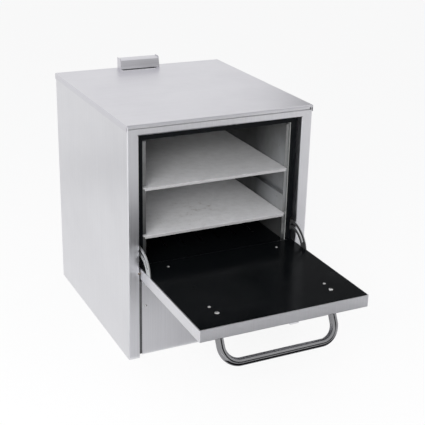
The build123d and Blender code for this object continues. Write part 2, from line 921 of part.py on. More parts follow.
def thermostat_knob():
    """Grip knob with a fluted rim, a skirt and a pointer, on its own shaft."""
    seat = panel_face - knob_gap
    skirt = rod((knob_x, seat, knob_height), (0, -1, 0), knob_skirt, knob_radius)
    grip_seat = seat - knob_skirt
    grip_face = seat - knob_depth
    grip_radius = knob_radius * knob_grip_share
    grip = rod(
        (knob_x, grip_seat, knob_height), (0, -1, 0), knob_depth - knob_skirt, grip_radius
    )
    grip = fillet(grip.edges().sort_by(Axis.Y)[0], knob_edge)
    flute_circle = grip_radius + knob_flute_radius / 2
    for number in range(1, knob_flutes):
        a = radians(360 / knob_flutes * number)
        x = knob_x + flute_circle * sin(a)
        z = knob_height + flute_circle * cos(a)
        grip -= rod((x, grip_seat, z), (0, -1, 0), knob_depth, knob_flute_radius)
    pointer = block(
        (knob_x - pointer_width / 2, knob_x + pointer_width / 2),
        (grip_face - pointer_rise, grip_face + pointer_rise),
        (knob_height + pointer_width, knob_height + grip_radius - knob_edge),
    )
    shaft = rod((knob_x, grip_seat, knob_height), (0, 1, 0), shaft_length, shaft_radius)
    return skirt + grip + pointer + shaft


def igniter_body():
    """Spark igniter held in the access panel by its bezel."""
    seat = (igniter_x, panel_face, knob_height)
    bezel = rod(seat, (0, -1, 0), igniter_bezel, igniter_bezel_radius)
    body = rod(seat, (0, 1, 0), igniter_body_length, igniter_body_radius)
    well = drill(seat, (0, 1, 0), button_radius + fit_gap, button_engaged + button_travel + fit_gap)
    stem_room = button_engaged + button_stem_length + button_travel + fit_gap
    bore = rod(seat, (0, 1, 0), stem_room, button_stem_radius + pin_play)
    return bezel + body - well - bore


def igniter_button():
    """Push button of the igniter, with its guide stem."""
    cap_front = panel_face - igniter_bezel - button_travel - button_stand
    cap_back = panel_face + button_engaged
    cap = rod((igniter_x, cap_front, knob_height), (0, 1, 0), cap_back - cap_front, button_radius)
    cap = fillet(cap.edges().sort_by(Axis.Y)[0], button_stand)
    stem_seat = (igniter_x, cap_back, knob_height)
    return cap + rod(stem_seat, (0, 1, 0), button_stem_length, button_stem_radius)


def gas_inlet():
    """Supply pipe from the thermostatic valve to a collared stub behind the rear cover."""
    start = (knob_x, panel_back + valve_setback + thermostat_size[1], knob_height)
    seat = (knob_x, back, knob_height)
    neck = stub_collar + stub_neck
    pipe = rod(start, (0, 1, 0), back - start[1], supply_radius)
    pipe += rod(seat, (0, 1, 0), stub_collar, stub_collar_radius)
    pipe += rod(seat, (0, 1, 0), neck, stub_neck_radius)
    pipe += rod((knob_x, back + neck, knob_height), (0, 1, 0), stub_length, stub_radius)
    return pipe - drill(seat, (0, 1, 0), supply_bore, seat[1] - start[1])


# Flue


def flue_duct():
    """Sheet duct from the chamber's back up to the lid."""
    low, high = duct_mouth
    outer = block(duct_sides, (chamber_back + liner, duct_back), duct_mouth)
    outer += block(duct_sides, (duct_front, duct_back), (low, lid_underside))
    x = (duct_sides[0] + skin, duct_sides[1] - skin)
    inner = block(x, (chamber_back, duct_back - skin), (low + skin, high - skin))
    inner += block(x, (duct_front + skin, duct_back - skin), (low + skin, lid_underside + 1))
    return outer - inner


def flue_hood():
    """Deflector on the lid: a leaning plate folded into a cap between two cheeks, open behind."""
    low = cabinet_height
    high = cabinet_height + hood_rise
    y_high = duct_back + hood_over_duct
    lean = hood_lean * hood_slot / hood_rise
    corners = [(flue_front + lean, low + hood_slot), (flue_front + hood_lean, high), (y_high, high)]
    width = flue_right - flue_left
    cap = bent_sheet(Plane.YZ, corners, skin, hood_bend, Side.RIGHT, width - 2 * skin)
    hood = Pos(flue_left + skin, 0, 0) * cap
    cheek_top = high + cheek_rise
    foot = [(flue_front, low), (y_high, low)]
    top = [(y_high, cheek_top), (flue_front + hood_lean, cheek_top)]
    section = Polyline(*foot, *top, close=True)
    cheek = extrude(Plane.YZ * make_face(section), skin)
    return hood + Pos(flue_left, 0, 0) * cheek + Pos(flue_right - skin, 0, 0) * cheek


# Insulation


def side_insulation():
    """Left wool blanket between the chamber wall and the side panel."""
    x = (-inner_half + wool_gap, -chamber_half_width - liner - wool_gap)
    y = (wool_front, chamber_back + liner)
    return block(x, y, (tray_height + skin + wool_gap, chamber_top + liner))


def top_insulation():
    """Wool blanket over the chamber, under the lid."""
    x = (-inner_half + wool_gap, inner_half - wool_gap)
    y = (front + joggle_depth + rail_top_flange + rail_wool_gap, chamber_back + liner)
    return block(x, y, (chamber_top + liner + wool_gap, lid_underside - wool_gap - skin))


def rear_insulation():
    """Wool blanket behind the chamber, cut out round the flue duct."""
    x = (-inner_half + rear_wool_inset, inner_half - rear_wool_inset)
    y = (chamber_back + liner + wool_gap, duct_front - wool_gap)
    slab = block(x, y, (tray_height + skin + wool_gap, lid_underside - rear_wool_drop))
    cut_x = (duct_sides[0] - wool_gap, duct_sides[1] + wool_gap)
    return slab - block(cut_x, (y[0] - 1, y[1] + 1), (duct_mouth[0] - wool_gap, cabinet_height))


def save(name, *solids):
    """Write one named piece, or a group of like pieces, as one file."""
    shape = solids[0] if len(solids) == 1 else Compound(children=list(solids))
    export_step(shape, f"parts/{name}.step")


def save_pair(name, shape):
    """Write a left piece and its mirror image on the right."""
    save(f"{name}_left", shape)
    save(f"{name}_right", mirrored(shape))


def save_cabinet():
    """Pieces of the fixed casing."""
    save_pair("side_panel", side_panel())
    save("top_rail", top_rail())
    save("top_cover", top_cover())
    save("back_panel", back_panel())
    save("back_screws", *back_screws())
    save("base_pan", base_pan())
    save("access_panel", access_panel())
    save("panel_screws", *panel_screws())
    save_pair("panel_support", panel_support())
    save("flue_duct", flue_duct())
    save("flue_hood", flue_hood())
    save_pair("side_insulation", side_insulation())
    save("top_insulation", top_insulation())
    save("rear_insulation", rear_insulation())


def save_chamber():
    """Pieces of the baking chamber and its two decks."""
    save("door_jamb", door_jamb())
    save_pair("chamber_side", chamber_side())
    save("chamber_ceiling", chamber_ceiling())
    save("chamber_rear", chamber_rear())
    save("chamber_floor", chamber_floor())
    save("front_sill", front_sill())
    save_pair("rack_guide", rack_guide())
    for name, top in zip(("lower_deck", "upper_deck"), deck_tops):
        save(name, deck(top))


def save_door():
    """Pieces of the door and the hinge hardware that stays on the cabinet."""
    save("door_pan", door_pan())
    save("door_liner", door_liner())
    save("door_stiffeners", *door_stiffeners())
    save("door_insulation", *door_insulation())
    save("liner_screws", *liner_screws())
    save("handle_bolts", *handle_bolts())
    save("door_handle", door_handle())
    save_pair("hinge_arm", hinge_arm())
    save_pair("hinge_pin", hinge_pin())
    save_pair("hinge_bush", hinge_bush())
    save_pair("hinge_plate", hinge_plate())
    save_pair("stop_stud", stop_stud())


def save_gas_parts():
    """Burners, gas line and front controls."""
    save("burner_tray", burner_tray())
    for name, side in (("left", -1), ("right", 1)):
        save(f"burner_{name}", burner(side))
    save("burner_rests", *burner_rests())
    save("gas_manifold", gas_manifold())
    save("thermostat", thermostat())
    save("thermostat_knob", thermostat_knob())
    save("igniter_body", igniter_body())
    save("igniter_button", igniter_button())
    save("gas_inlet", gas_inlet())


os.makedirs("parts", exist_ok=True)
save_cabinet()
save_chamber()
save_door()
save_gas_parts()
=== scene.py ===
import json
import math

import bmesh
import bpy
from mathutils import Euler, Matrix, Vector


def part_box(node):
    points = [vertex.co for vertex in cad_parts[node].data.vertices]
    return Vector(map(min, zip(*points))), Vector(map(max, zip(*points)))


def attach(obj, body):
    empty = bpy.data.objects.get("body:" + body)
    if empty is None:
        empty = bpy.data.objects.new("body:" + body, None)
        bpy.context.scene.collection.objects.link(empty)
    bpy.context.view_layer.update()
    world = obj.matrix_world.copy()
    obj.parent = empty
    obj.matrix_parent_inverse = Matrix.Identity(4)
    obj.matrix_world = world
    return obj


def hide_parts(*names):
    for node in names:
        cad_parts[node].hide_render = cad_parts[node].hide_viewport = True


# Countertop deck oven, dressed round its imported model. Metres, +Z up, front towards -Y.

# Camera
CAMERA_PLACE = (-1.2210, -2.7560, 1.5249)
CAMERA_AZIMUTH = 26.21
CAMERA_FALL = 21.72
CAMERA_ROLL = 1.36
CAMERA_LENS = 80.84
SENSOR_WIDTH = 36.0

# Studio
FLOOR_SIZE = 14.0
FLOOR_DROP = 0.0005
FLOOR_GREY = 0.70
WHITE_SHARE = 0.88
WHITE = (1.0, 1.0, 1.0, 1.0)
SURROUND_FRONT = (0.50, 0.50, 0.52)
SURROUND_REAR = (0.80, 0.80, 0.83)
LIGHT_TARGET = (0.0, 0.0, 0.45)

# Grey cards for the metal to mirror: name, centre, size, grey, whether it stands
CARDS = (
    ("front_card", (-0.25, -2.2, 0.003), (2.5, 2.2), 0.58, False),
    ("right_card", (3.6, 2.8, 1.7), (3.0, 3.2), 0.30, True),
    ("stile_card", (0.135, -1.75, 0.0035), (0.73, 0.60), 0.29, False),
    ("low_card", (0.15, -0.95, 0.004), (0.9, 0.40), 0.02, False),
    ("panel_card", (0.1, -0.535, 0.0045), (1.2, 0.39), 0.68, False),
    ("side_card", (-1.12, 1.36, 0.003), (0.55, 0.40), 0.45, False),
    ("dark_wall", (1.9, -4.6, 1.25), (3.4, 2.4), 0.03, True),
)

# Square soft lights: name, place, size, power
LIGHTS = (
    ("key_light", (-2.4, -2.2, 2.6), 2.2, 30.0),
    ("top_light", (0.4, 0.6, 3.2), 2.2, 12.0),
    ("front_light", (-1.9, -3.0, 1.4), 2.0, 165.0),
)

# Colours of the finishes
CABINET_STEEL = (0.70, 0.70, 0.725)
LID_STEEL = (0.66, 0.655, 0.69)
PLATED_STEEL = (0.72, 0.72, 0.72)
BRONZE = (0.26, 0.18, 0.10)
BRASS = (0.60, 0.52, 0.32)
BLACK_IRON = (0.10, 0.10, 0.105)
BLACK_PLASTIC = (0.018, 0.018, 0.019)
RED_PLASTIC = (0.42, 0.018, 0.014)
WHITE_MARKING = (0.78, 0.78, 0.76)

# Finishes of two or three colours, from the first to the last of their ramp
ZINC = ((0.44, 0.45, 0.47), (0.58, 0.59, 0.61))
BLACK_PAINT = ((0.018, 0.018, 0.020), (0.07, 0.07, 0.072))
BLACK_ENAMEL = ((0.0025, 0.003, 0.0035), (0.02, 0.02, 0.022))
GREY_ENAMEL = ((0.25, 0.255, 0.25), (0.40, 0.40, 0.39))
TUBE_STEEL = ((0.27, 0.27, 0.28), (0.21, 0.21, 0.22))
GUIDE_STEEL = ((0.66, 0.68, 0.70), (0.54, 0.55, 0.55), (0.30, 0.29, 0.28))
BURNER_STEEL = ((0.30, 0.31, 0.34), (0.28, 0.22, 0.16), (0.10, 0.09, 0.10))
DECK_SHEET = ((0.46, 0.43, 0.40), (0.74, 0.74, 0.745), (0.86, 0.86, 0.87))
WOOL = ((0.28, 0.24, 0.14), (0.52, 0.47, 0.30))

# How often grain, scratches and fibres repeat in a metre along X, Y and Z
CABINET_GRAIN = (260.0, 260.0, 3.0)
LID_GRAIN = (3.0, 260.0, 260.0)
GUIDE_GRAIN = (300.0, 6.0, 300.0)
BURNER_GRAIN = (280.0, 5.0, 280.0)
DECK_GRAIN = (5.0, 320.0, 320.0)
SCRATCH_RUN = (14.0, 620.0, 210.0)
WOOL_RUN = (90.0, 420.0, 420.0)

# Turn of the scratches about Z, in radians
SCRATCH_SLANT = 0.6

# How far the grain's light and dark streaks lie from the colour, and the pipe's ring scale
GRAIN_CONTRAST = 0.05
PIPE_RING_SCALE = 55.5556

# Depths of relief
GRAIN_RELIEF = 0.00012
ZINC_RELIEF = 0.00010
PEEL_RELIEF = 0.00020
PAINT_RELIEF = 0.00015
HAIRLINE_RELIEF = 0.00005
DENT_RELIEF = 0.00008
THREAD_RELIEF = 0.0006
WOOL_RELIEF = 0.002

# Depths between which painted shade darkens the chamber towards its rear, and how uneven that is
DEPTH_SHADE_FROM = -0.10
DEPTH_SHADE_FULL = -0.25
DEPTH_SHADE_UNEVEN = 0.05

# How far a face looks out of the front, from where painted shade starts to darken it to the full
FRONT_SHADE_FROM = -0.2
FRONT_SHADE_FULL = -0.9

# How uneven a card's grey is
CARD_UNEVEN = 0.01

# Mesh finish
MERGE_DISTANCE = 1e-7
SHARP_ANGLE = 0.6

# Screws and bolts
SMALL_HEAD_RADIUS = 0.0046
SMALL_HEAD_HEIGHT = 0.0024
SMALL_SHANK_RADIUS = 0.0021
BOLT_HEAD_RADIUS = 0.0070
BOLT_HEAD_HEIGHT = 0.0040
BOLT_SHANK_RADIUS = 0.0040
SCREW_SEGMENTS = 40
SHANK_CHAMFER = 0.3
NODE_MERGE_DISTANCE = 1e-6
RIM_SHARE = 0.9

# A domed head's outline, in shares of its radius and height
DOMED_HEAD = ((0.96, 0.0), (1.0, 0.12), (1.0, 0.34), (0.93, 0.62), (0.76, 0.84), (0.5, 0.96), (0.0, 1.0))

# Recesses, in shares of the head's radius and height
CROSS_ARM = 0.58
CROSS_WIDTH = 0.15
CROSS_FLOOR = 0.35
CROSS_TAPER = 0.5
HEX_SIDES = 6
HEX_RADIUS = 0.46
HEX_WALL_FOOT = 0.30
HEX_FLOOR = 0.12
CUTTER_TOP = 1.2

# Louvres over the back panel's slots
LOUVRE_ROWS = 6
LOUVRE_COLUMNS = 3
LOUVRE_LENGTH = 0.090
LOUVRE_PITCH_X = 0.110
LOUVRE_PITCH_Z = 0.017
LOUVRE_SHIFT = -0.060
LOUVRE_LOW = 0.034
LOUVRE_STAND = 0.0046
LOUVRE_RISE = 0.0105
LOUVRE_BELOW = 0.35
LOUVRE_SHEET = 0.0008
LOUVRE_CELLS = (28, 8)
LOUVRE_END_POWER = 5
LOUVRE_SWELL_POWER = 0.8

# Rivets that hold the rack guides
RIVET_RADIUS = 0.0038
RIVET_HEIGHT = 0.0013
RIVET_SUNK = 0.0006
RIVET_DOME = ((1.0, 0.2), (0.85, 0.7), (0.45, 0.96), (0.0, 1.0))
RIVET_SEGMENTS = 28
RIVET_COLUMNS = 3
RIVET_TURN_SEED = 2
RIVET_END_MARGIN = 0.06
RIVET_BELOW_DECK = 0.030
RIVET_ABOVE_LOWER_DECK = 0.030
RIVET_ABOVE_UPPER_DECK = 0.050
GUIDE_SHEET = 0.001

# Knob: outlines are shares of the skirt's or the grip's radius with heights in metres
KNOB_GAP = 0.001
KNOB_SHAFT_RADIUS = 0.003
KNOB_SHAFT_STEP = 0.0002
KNOB_GRIP_SHARE = 0.80
KNOB_SKIRT = ((0.985, 0.0), (1.0, 0.0006), (1.0, 0.0020), (0.97, 0.0029))
KNOB_GRIP_FOOT = ((1.02, 0.0034), (1.0, 0.0046))
KNOB_FACE_DROPS = (
    (0.965, 0.0030),
    (0.94, 0.0012),
    (0.88, 0.0002),
    (0.80, 0.0),
    (0.62, 0.0008),
    (0.0, 0.0012),
)
KNOB_SEGMENTS = 168
KNOB_FLUTES = 12
KNOB_FLUTE_DEPTH = 0.10
KNOB_FLUTE_POWER = 6
KNOB_FLUTED_FROM = 0.4
KNOB_FLUTED_TO = 1.01

# Pointer on the knob's face
POINTER_FROM = 0.30
POINTER_TO = 0.93
POINTER_HALF = 0.0010
POINTER_TIP = 0.0008
POINTER_RISE = 0.0006
POINTER_ROOT = 0.0016
POINTER_SINK = 0.0001

# Tick marks round the knob
TICK_COUNT = 11
TICK_SWEEP = 285.0
TICK_CIRCLE = 0.0262
TICK_WIDTH = 0.0009
TICK_LENGTH = 0.0030
TICK_RISE = 0.00015
TICK_SINK = 0.00005
FIRST_TICK_SHARE = 1.5

# Places of the axes in a vector
Y, Z = 1, 2


# Nodes


def link_or_set(tree, node, values):
    """Each input of a node, linked to another node's socket or set to a plain value."""
    for name, value in values.items():
        if isinstance(value, bpy.types.NodeSocket):
            tree.links.new(value, node.inputs[name])
        else:
            node.inputs[name].default_value = value


def make_node(tree, kind, inputs=None, **settings):
    """One node with its settings and its inputs."""
    made = tree.nodes.new(kind)
    for name, value in settings.items():
        setattr(made, name, value)
    link_or_set(tree, made, inputs or {})
    return made


def start_material(name):
    """An empty material: its tree, its shader and the object's own coordinates."""
    material = bpy.data.materials.new(name)
    material.use_nodes = True
    tree = material.node_tree
    shader = tree.nodes["Principled BSDF"]
    place = make_node(tree, "ShaderNodeTexCoord").outputs["Object"]
    return material, tree, shader, place


def noise(tree, place, scale, detail=3.0, roughness=0.5):
    """Noise over a vector, 0 to 1."""
    inputs = {"Vector": place, "Scale": scale, "Detail": detail, "Roughness": roughness}
    return make_node(tree, "ShaderNodeTexNoise", inputs).outputs["Fac"]


def stretched(tree, place, stretch):
    """A vector multiplied along each axis."""
    inputs = {0: place, 1: stretch}
    return make_node(tree, "ShaderNodeVectorMath", inputs, operation="MULTIPLY").outputs[0]


def spread(tree, source, at_start, at_end, start=0.0, end=1.0):
    """A value that runs between two others while its source runs from start to end."""
    inputs = {
        "Value": source,
        "From Min": start,
        "From Max": end,
        "To Min": at_start,
        "To Max": at_end,
    }
    return make_node(tree, "ShaderNodeMapRange", inputs, clamp=True).outputs["Result"]


def combine(tree, first, second, operation="ADD"):
    """Two values joined by a sum or another operation."""
    return make_node(tree, "ShaderNodeMath", {0: first, 1: second}, operation=operation).outputs[0]


def part_of(tree, value, share):
    """A value times a fixed share."""
    return combine(tree, value, share, "MULTIPLY")


def mask(tree, source, start, end):
    """Nought to one while the source runs from start to end."""
    return spread(tree, source, 0.0, 1.0, start, end)


def ramp(tree, source, *stops):
    """Colours along a value: each stop is a position and a colour."""
    made = make_node(tree, "ShaderNodeValToRGB", {"Fac": source})
    elements = made.color_ramp.elements
    while len(elements) < len(stops):
        elements.new(0.5)
    for element, (position, colour) in zip(elements, stops):
        element.position = position
        element.color = (*colour, 1.0)
    return made.outputs["Color"]


def bump(tree, shader, height, strength, distance):
    """Relief on a shader from a height value."""
    inputs = {"Height": height, "Strength": strength, "Distance": distance}
    made = make_node(tree, "ShaderNodeBump", inputs)
    tree.links.new(made.outputs["Normal"], shader.inputs["Normal"])


def depth_of(tree, vector):
    """A vector's part along the oven's depth."""
    return make_node(tree, "ShaderNodeSeparateXYZ", {0: vector}).outputs["Y"]


def dimmed(tree, colour, level):
    """A colour multiplied by a level."""
    inputs = {0: colour, "Scale": level}
    return make_node(tree, "ShaderNodeVectorMath", inputs, operation="SCALE").outputs[0]


def tone(colour, factor):
    """A colour made lighter or darker."""
    return tuple(channel * factor for channel in colour)


# Shader groups that several metals and enamels share


def group_shell(name, inputs, outputs):
    """A shader group with its named inputs and its value outputs."""
    group = bpy.data.node_groups.new(name, "ShaderNodeTree")
    for socket, kind in inputs.items():
        group.interface.new_socket(socket, in_out="INPUT", socket_type=kind)
    for socket in outputs:
        group.interface.new_socket(socket, in_out="OUTPUT", socket_type="NodeSocketFloat")
    return group, group.nodes.new("NodeGroupInput"), group.nodes.new("NodeGroupOutput")


def brushed_group():
    """Long brushed streaks, stretched by a vector, and wide soft patches."""
    inputs = {"Vector": "NodeSocketVector", "Stretch": "NodeSocketVector"}
    group, entry, leave = group_shell("brushed_streaks", inputs, ["Streak", "Patch"])
    place = entry.outputs["Vector"]
    drawn = stretched(group, place, entry.outputs["Stretch"])
    streak = noise(group, drawn, scale=1.0, detail=7.0, roughness=0.66)
    patch = noise(group, place, scale=3.1)
    link_or_set(group, leave, {"Streak": streak, "Patch": patch})


def worn_group():
    """Marks of use: wiped smudges, fine scratches and small specks."""
    inputs = {"Vector": "NodeSocketVector"}
    group, entry, leave = group_shell("marks_of_use", inputs, ["Smudge", "Scratch", "Speck"])
    place = entry.outputs["Vector"]
    smears = noise(group, place, scale=11.0, detail=5.0, roughness=0.62)
    smudge = mask(group, smears, start=0.42, end=0.74)
    slant = {"Vector": place, "Angle": SCRATCH_SLANT}
    turned = make_node(group, "ShaderNodeVectorRotate", slant, rotation_type="Z_AXIS").outputs[0]
    lines = noise(group, stretched(group, turned, SCRATCH_RUN), scale=1.0, detail=2.0)
    scratch = mask(group, lines, start=0.68, end=0.74)
    cells = make_node(group, "ShaderNodeTexVoronoi", {"Vector": place, "Scale": 170.0})
    speck = spread(group, cells.outputs["Distance"], 1.0, 0.0, start=0.04, end=0.16)
    link_or_set(group, leave, {"Smudge": smudge, "Scratch": scratch, "Speck": speck})


def depth_shade_group():
    """A level for painted shade: it falls between two depths of the chamber, darker towards the rear, in
    clouds.
    """
    inputs = {"Vector": "NodeSocketVector", "Least": "NodeSocketFloat"}
    group, entry, leave = group_shell("painted_depth_shade", inputs, ["Level"])
    place = entry.outputs["Vector"]
    clouds = spread(group, noise(group, place, scale=9.0), -DEPTH_SHADE_UNEVEN, DEPTH_SHADE_UNEVEN)
    depth = combine(group, depth_of(group, place), clouds)
    level = spread(group, depth, 1.0, entry.outputs["Least"], DEPTH_SHADE_FULL, DEPTH_SHADE_FROM)
    link_or_set(group, leave, {"Level": level})


def front_shade_group():
    """A level for painted shade on the faces that look out of the oven's front."""
    inputs = {"Normal": "NodeSocketVector", "Least": "NodeSocketFloat"}
    group, entry, leave = group_shell("painted_front_shade", inputs, ["Level"])
    facing = depth_of(group, entry.outputs["Normal"])
    level = spread(group, facing, entry.outputs["Least"], 1.0, FRONT_SHADE_FULL, FRONT_SHADE_FROM)
    link_or_set(group, leave, {"Level": level})


def use_group(tree, name, inputs):
    """A shared group with this material's own inputs."""
    return make_node(tree, "ShaderNodeGroup", inputs, node_tree=bpy.data.node_groups[name]).outputs


def with_depth_shade(tree, colour, place, least):
    """A colour darkened by painted shade, down to its least share at the chamber's rear."""
    level = use_group(tree, "painted_depth_shade", {"Vector": place, "Least": least})["Level"]
    return dimmed(tree, colour, level)


def with_front_shade(tree, colour, place, least):
    """A colour darkened by painted shade on the faces that look out of the oven's front."""
    normal = place.node.outputs["Normal"]
    level = use_group(tree, "painted_front_shade", {"Normal": normal, "Least": least})["Level"]
    return dimmed(tree, colour, level)


# Materials


def brushed_sheet(name, colour, stretch, rough):
    """Brushed stainless sheet: fine grain one way, soft patches, wiped smudges and scratches."""
    material, tree, shader, place = start_material(name)
    grain = use_group(tree, "brushed_streaks", {"Vector": place, "Stretch": stretch})
    marks = use_group(tree, "marks_of_use", {"Vector": place})
    streak = grain["Streak"]
    patch = part_of(tree, spread(tree, grain["Patch"], at_start=-0.5, at_end=0.5), share=0.35)
    dark, light = tone(colour, 1.0 - GRAIN_CONTRAST), tone(colour, 1.0 + GRAIN_CONTRAST)
    shade = ramp(tree, combine(tree, streak, patch), (0.30, dark), (0.70, light))
    grain_rough = spread(tree, streak, rough - 0.06, rough + 0.06, start=0.3, end=0.7)
    wiped = part_of(tree, marks["Smudge"], share=0.07)
    finish = {
        "Base Color": shade,
        "Metallic": 1.0,
        "Roughness": combine(tree, grain_rough, wiped),
    }
    link_or_set(tree, shader, finish)
    scratch = part_of(tree, marks["Scratch"], share=-0.35)
    bump(tree, shader, combine(tree, streak, scratch), strength=0.22, distance=GRAIN_RELIEF)
    return material


def galvanised_sheet():
    """Zinc-coated sheet with a faint spangle."""
    material, tree, shader, place = start_material("galvanised_sheet")
    cells = make_node(tree, "ShaderNodeTexVoronoi", {"Vector": place, "Scale": 130.0})
    spangle = {"Color": cells.outputs["Color"]}
    flake = make_node(tree, "ShaderNodeSeparateColor", spangle).outputs[0]
    patch = combine(tree, flake, noise(tree, place, scale=6.0, detail=4.0))
    dark, light = ZINC
    level = mask(tree, patch, start=0.4, end=1.5)
    finish = {
        "Base Color": ramp(tree, level, (0.0, dark), (1.0, light)),
        "Metallic": 0.9,
        "Roughness": spread(tree, flake, at_start=0.38, at_end=0.56),
    }
    link_or_set(tree, shader, finish)
    bump(tree, shader, flake, strength=0.10, distance=ZINC_RELIEF)
    return material


def enamel(name, colours, rough, gloss):
    """Vitreous enamel: a glassy coat with orange peel, wiped smudges, fine flecks and painted shade
    towards the chamber's rear.
    """
    material, tree, shader, place = start_material(name)
    marks = use_group(tree, "marks_of_use", {"Vector": place})
    flecks = combine(tree, marks["Speck"], noise(tree, place, scale=40.0, detail=2.0), "MULTIPLY")
    coat, fleck = colours
    shade = ramp(tree, flecks, (0.35, coat), (0.75, fleck))
    finish = {
        # Painted shade: the enamel's colour darkens towards the chamber's rear.
        "Base Color": with_depth_shade(tree, shade, place, least=0.35),
        "Roughness": spread(tree, marks["Smudge"], rough, rough + 0.14),
        "Specular IOR Level": gloss,
    }
    link_or_set(tree, shader, finish)
    peel = noise(tree, place, scale=420.0, detail=2.0)
    waves = noise(tree, place, scale=16.0, detail=1.0)
    bump(tree, shader, combine(tree, peel, waves), strength=0.25, distance=PEEL_RELIEF)
    return material


def black_paint():
    """Heat-proof black paint, slightly chalky, thinner along its scratches."""
    material, tree, shader, place = start_material("black_heat_paint")
    marks = use_group(tree, "marks_of_use", {"Vector": place})
    worn = combine(tree, marks["Smudge"], marks["Scratch"])
    full, thin = BLACK_PAINT
    finish = {
        "Base Color": ramp(tree, worn, (0.0, full), (1.0, thin)),
        "Roughness": spread(tree, marks["Smudge"], at_start=0.52, at_end=0.70),
    }
    link_or_set(tree, shader, finish)
    grit = noise(tree, place, scale=900.0)
    bump(tree, shader, grit, strength=0.25, distance=PAINT_RELIEF)
    return material


def heated_steel(name, colours, stretch, rough):
    """Plain steel tinted by heat: straw and brown clouds over a rolled grain, with painted shade towards
    the chamber's rear and on faces that look out of the front.
    """
    material, tree, shader, place = start_material(name)
    grain = use_group(tree, "brushed_streaks", {"Vector": place, "Stretch": stretch})
    marks = use_group(tree, "marks_of_use", {"Vector": place})
    smudge = part_of(tree, marks["Smudge"], share=0.3)
    cool, straw, dark = colours
    heat = combine(tree, grain["Patch"], smudge)
    tints = ramp(tree, heat, (0.35, cool), (0.62, straw), (0.95, dark))
    # Painted shade: darker towards the chamber's rear.
    darkened = with_depth_shade(tree, tints, place, least=0.20)
    finish = {
        # Painted shade: darker on faces that look out of the front.
        "Base Color": with_front_shade(tree, darkened, place, least=0.45),
        "Metallic": 0.95,
        "Roughness": spread(tree, grain["Streak"], rough - 0.07, rough + 0.09),
    }
    link_or_set(tree, shader, finish)
    bump(tree, shader, grain["Streak"], strength=0.2, distance=GRAIN_RELIEF)
    return material


def aluminised_sheet():
    """Satin aluminised deck sheet: cloudy patches, rubbed scratches, baked-on freckles and painted shade
    on faces that look out of the front.
    """
    material, tree, shader, place = start_material("aluminised_deck")
    grain = use_group(tree, "brushed_streaks", {"Vector": place, "Stretch": DECK_GRAIN})
    marks = use_group(tree, "marks_of_use", {"Vector": place})
    freckles = combine(tree, marks["Speck"], marks["Smudge"], "MULTIPLY")
    mottle = noise(tree, place, scale=38.0, detail=6.0, roughness=0.68)
    clouds = combine(tree, grain["Patch"], mottle)
    shade = combine(tree, clouds, part_of(tree, freckles, share=-0.8))
    dull, plain, bright = DECK_SHEET
    level = mask(tree, shade, start=0.6, end=1.3)
    colours = ramp(tree, level, (0.02, dull), (0.22, plain), (0.80, bright))
    rubbed = part_of(tree, marks["Scratch"], share=-0.10)
    wiped = spread(tree, marks["Smudge"], at_start=0.34, at_end=0.50)
    finish = {
        # Painted shade: darker on faces that look out of the front.
        "Base Color": with_front_shade(tree, colours, place, least=0.40),
        "Metallic": 0.30,
        "Roughness": combine(tree, wiped, rubbed),
    }
    link_or_set(tree, shader, finish)
    bump(tree, shader, combine(tree, grain["Streak"], rubbed), strength=0.15, distance=GRAIN_RELIEF)
    return material


def polished_tube():
    """Polished stainless tube: nearly a mirror, with hairline scratches and wiped smudges."""
    material, tree, shader, place = start_material("polished_tube")
    marks = use_group(tree, "marks_of_use", {"Vector": place})
    clean, wiped = TUBE_STEEL
    hairlines = part_of(tree, marks["Scratch"], share=0.12)
    bloom = spread(tree, marks["Smudge"], at_start=0.09, at_end=0.18)
    finish = {
        "Base Color": ramp(tree, marks["Smudge"], (0.0, clean), (1.0, wiped)),
        "Metallic": 1.0,
        "Roughness": combine(tree, bloom, hairlines),
    }
    link_or_set(tree, shader, finish)
    bump(tree, shader, marks["Scratch"], strength=0.05, distance=HAIRLINE_RELIEF)
    return material


def turned_metal(name, colour, rough, ring_scale=0.0):
    """Plated or turned fittings: a dull bloom with small dents, or with rings of a given scale."""
    material, tree, shader, place = start_material(name)
    bloom = noise(tree, place, scale=120.0, detail=4.0, roughness=0.6)
    finish = {
        "Base Color": ramp(tree, bloom, (0.3, tone(colour, 0.72)), (0.7, colour)),
        "Metallic": 1.0,
        "Roughness": spread(tree, bloom, rough - 0.08, rough + 0.10, start=0.3, end=0.7),
    }
    link_or_set(tree, shader, finish)
    if ring_scale:
        bands = {"wave_type": "BANDS", "bands_direction": "Y", "wave_profile": "TRI"}
        inputs = {"Vector": place, "Scale": ring_scale}
        wave = make_node(tree, "ShaderNodeTexWave", inputs, **bands)
        bump(tree, shader, wave.outputs["Fac"], strength=0.8, distance=THREAD_RELIEF)
    else:
        dents = noise(tree, place, scale=700.0, detail=2.0)
        bump(tree, shader, dents, strength=0.08, distance=DENT_RELIEF)
    return material


def mineral_wool():
    """Matted yellow-grey wool."""
    material, tree, shader, place = start_material("mineral_wool")
    drawn = stretched(tree, place, WOOL_RUN)
    fibre = noise(tree, drawn, scale=1.0, detail=6.0, roughness=0.7)
    dark, light = WOOL
    finish = {"Base Color": ramp(tree, fibre, (0.3, dark), (0.7, light)), "Roughness": 0.95}
    link_or_set(tree, shader, finish)
    bump(tree, shader, fibre, strength=0.8, distance=WOOL_RELIEF)
    return material


def moulded_plastic(name, colour, rough):
    """Moulded plastic with a fine spark-eroded grain and rubbed spots."""
    material, tree, shader, place = start_material(name)
    rubbed = noise(tree, place, scale=60.0)
    finish = {
        "Base Color": ramp(tree, rubbed, (0.35, colour), (0.80, tone(colour, 1.5))),
        "Roughness": spread(tree, rubbed, rough + 0.08, rough - 0.06, start=0.3, end=0.8),
    }
    link_or_set(tree, shader, finish)
    pores = noise(tree, place, scale=2600.0, detail=2.0)
    bump(tree, shader, pores, strength=0.25, distance=DENT_RELIEF)
    return material


